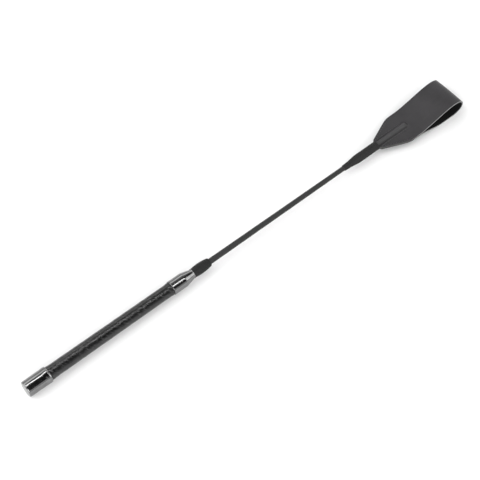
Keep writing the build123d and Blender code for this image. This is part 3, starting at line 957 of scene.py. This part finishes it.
metal = dark_metal()
dress(butt_cap(), metal)
dress(collar(), metal)
dress(grip_wrap(), grip_leatherette())
handle_layer = handle_whipping()
tip_layers = [tip_whipping_lead(), tip_whipping()]
covers, rods = shaft_lengths()
dress(keeper_strap(), keeper_face(), keeper_edge(), keeper_back())
dress(keeper_stitches(), thread("stitch_thread", 0.05, 0.4))
handle_thread = thread("handle_thread", 0.006, 0.26)
tip_thread = thread("tip_thread", 0.008, 0.28)
braid_material = braid()
glass_fibre = moulded("glass_fibre", (0.62, 0.60, 0.48), 0.4, 0.8 * MM, 0.01 * MM)
for pieces, material in (([handle_layer], handle_thread), (tip_layers, tip_thread),
                         (covers, braid_material), (rods, glass_fibre)):
    for piece in pieces:
        dress(piece, material)

nylon = moulded("nylon", (0.03, 0.03, 0.032), 0.45, 1.2 * MM, 0.02 * MM)
foam = moulded("foam", (0.045, 0.045, 0.047), 0.9, 0.7 * MM, 0.15 * MM)
tape = moulded("tape", (0.02, 0.02, 0.02), 0.5, 1.6 * MM, 0.05 * MM)
rubber = moulded("rubber", (0.018, 0.018, 0.018), 0.7, 0.9 * MM, 0.02 * MM)
tube_glass = moulded("tube_glass", (0.06, 0.06, 0.055), 0.42, 1.0 * MM, 0.02 * MM)
for node, material in {
    "cap_bush": nylon,
    "butt_plug": nylon,
    "handle_tube": tube_glass,
    "rod_bush_rear": nylon,
    "rod_bush_front": nylon,
    "grip_padding": foam,
    "collar_bush": nylon,
    "whipping_filler": tape,
    "tip_filler": tape,
    "rod_end_cap": rubber,
}.items():
    dress_node(node, material)


# ---------------------------------------------------------------- studio

FLOOR_HALF = 12.0
CAMERA_AZIMUTH = math.radians(-39.41)
CAMERA_ELEVATION = math.radians(56.41)
CAMERA_ROLL = math.radians(-0.47)
CAMERA_DISTANCE = 1.3676
CAMERA_LENS = 93.4
CAMERA_AIM = Vector((-20.4 * MM, 0, AXIS_Z + 1.0 * MM))

# The walls' brightness at each angle about the crop's length, in degrees: 0 is level on the +Y side,
# 90 is overhead and 180 is level on the -Y side.
WALL_BANDS = [(0, 0.85), (26, 0.85), (38, 2.2), (48, 2.4), (52, 0.3), (76, 0.3), (82, 0.03), (180, 0.02)]
LOW_WALL = 0.9
LOW_WALL_TOP = (0.32, 0.40)     # sines of the elevations between which the low wall gives way to the bands


def floor():
    corners = np.array([(-1, -1, 0), (1, -1, 0), (1, 1, 0), (-1, 1, 0)], float) * FLOOR_HALF
    corners[:, 2] = CAD_BOX[0].z - 0.02 * MM
    mesh = bpy.data.meshes.new("floor")
    mesh.from_pydata(corners.tolist(), [], [(0, 1, 2, 3)])
    made = bpy.data.objects.new("floor", mesh)
    bpy.context.scene.collection.objects.link(made)
    dress(made, floor_paper())


def camera():
    a, e, r = CAMERA_AZIMUTH, CAMERA_ELEVATION, CAMERA_ROLL
    back = Vector((math.sin(a) * math.cos(e), -math.cos(a) * math.cos(e), math.sin(e)))
    level = Vector((math.cos(a), math.sin(a), 0))
    upright = back.cross(level)
    right = level * math.cos(r) + upright * math.sin(r)
    up = upright * math.cos(r) - level * math.sin(r)
    data = bpy.data.cameras.new("camera")
    data.sensor_width = 36
    data.lens = CAMERA_LENS
    data.clip_start = 0.05
    data.clip_end = 60
    made = bpy.data.objects.new("camera", data)
    bpy.context.scene.collection.objects.link(made)
    facing = Matrix((right, up, back)).transposed().to_4x4()
    made.matrix_world = Matrix.Translation(CAMERA_AIM + back * CAMERA_DISTANCE) @ facing
    bpy.context.scene.camera = made


def area_light(name, size, power):
    data = bpy.data.lights.new(name, "AREA")
    data.shape = "RECTANGLE"
    data.size, data.size_y = size
    data.energy = power
    made = bpy.data.objects.new(name, data)
    bpy.context.scene.collection.objects.link(made)
    return made


def softbox(name, direction, distance, size, power):
    """A large light that faces the origin."""
    made = area_light(name, size, power)
    place = Vector(direction).normalized()
    made.location = place * distance
    made.rotation_mode = "QUATERNION"
    made.rotation_quaternion = place.to_track_quat("Z", "Y")


def strip_lamp(first, second, size, power):
    """A level tube light whose line passes through two points."""
    made = area_light("strip_lamp", size, power)
    first, second = Vector(first), Vector(second)
    made.location = (first + second) / 2
    made.rotation_euler = (0, 0, math.atan2(second.y - first.y, second.x - first.x))


def studio_walls():
    """The room: a pale low wall all round, and above it bands that turn about the crop's length, with
    one bright band on the +Y side and darkness from overhead to the -Y side."""
    world = bpy.data.worlds.new("studio")
    bpy.context.scene.world = world
    world.use_nodes = True
    tree = world.node_tree
    nodes, links = tree.nodes, tree.links
    background = nodes["Background"]
    place = nodes.new("ShaderNodeTexCoord").outputs["Generated"]
    split = nodes.new("ShaderNodeSeparateXYZ")
    links.new(place, split.inputs[0])
    turn = nodes.new("ShaderNodeMath")
    turn.operation = "ARCTAN2"
    links.new(split.outputs["Z"], turn.inputs[0])
    links.new(split.outputs["Y"], turn.inputs[1])
    share = nodes.new("ShaderNodeMapRange")
    share.inputs["From Min"].default_value = 0
    share.inputs["From Max"].default_value = math.pi
    links.new(turn.outputs[0], share.inputs["Value"])
    bands = nodes.new("ShaderNodeValToRGB")
    elements = bands.color_ramp.elements
    while len(elements) < len(WALL_BANDS):
        elements.new(0.5)
    brightest = max(value for _, value in WALL_BANDS)
    for element, (degrees, value) in zip(elements, WALL_BANDS):
        element.position = degrees / 180
        element.color = (*grey(value / brightest), 1)
    links.new(share.outputs[0], bands.inputs["Fac"])
    strength = nodes.new("ShaderNodeMix")
    strength.data_type = "RGBA"
    low = nodes.new("ShaderNodeMapRange")
    low.inputs["From Min"].default_value, low.inputs["From Max"].default_value = LOW_WALL_TOP
    links.new(split.outputs["Z"], low.inputs["Value"])
    links.new(low.outputs[0], strength.inputs[0])
    strength.inputs[6].default_value = (*grey(LOW_WALL / brightest), 1)
    links.new(bands.outputs["Color"], strength.inputs[7])
    links.new(strength.outputs[2], background.inputs["Color"])
    background.inputs["Strength"].default_value = brightest


floor()
camera()
studio_walls()
softbox("overhead", (-0.8, 0.4, 0.8), 2.4, (2.0, 2.8), 36)
softbox("near_side", (-0.6, -0.75, 0.5), 2.4, (2.4, 1.6), 54)
softbox("far_end", (0.85, -0.4, 0.5), 2.4, (2.0, 1.4), 22)
strip_lamp((-0.122, 0.18, 1.0), (0.217, -0.30, 1.0), (1.3, 0.075), 3.2)
bpy.context.scene.view_settings.view_transform = "Standard"

bpy.context.view_layer.update()
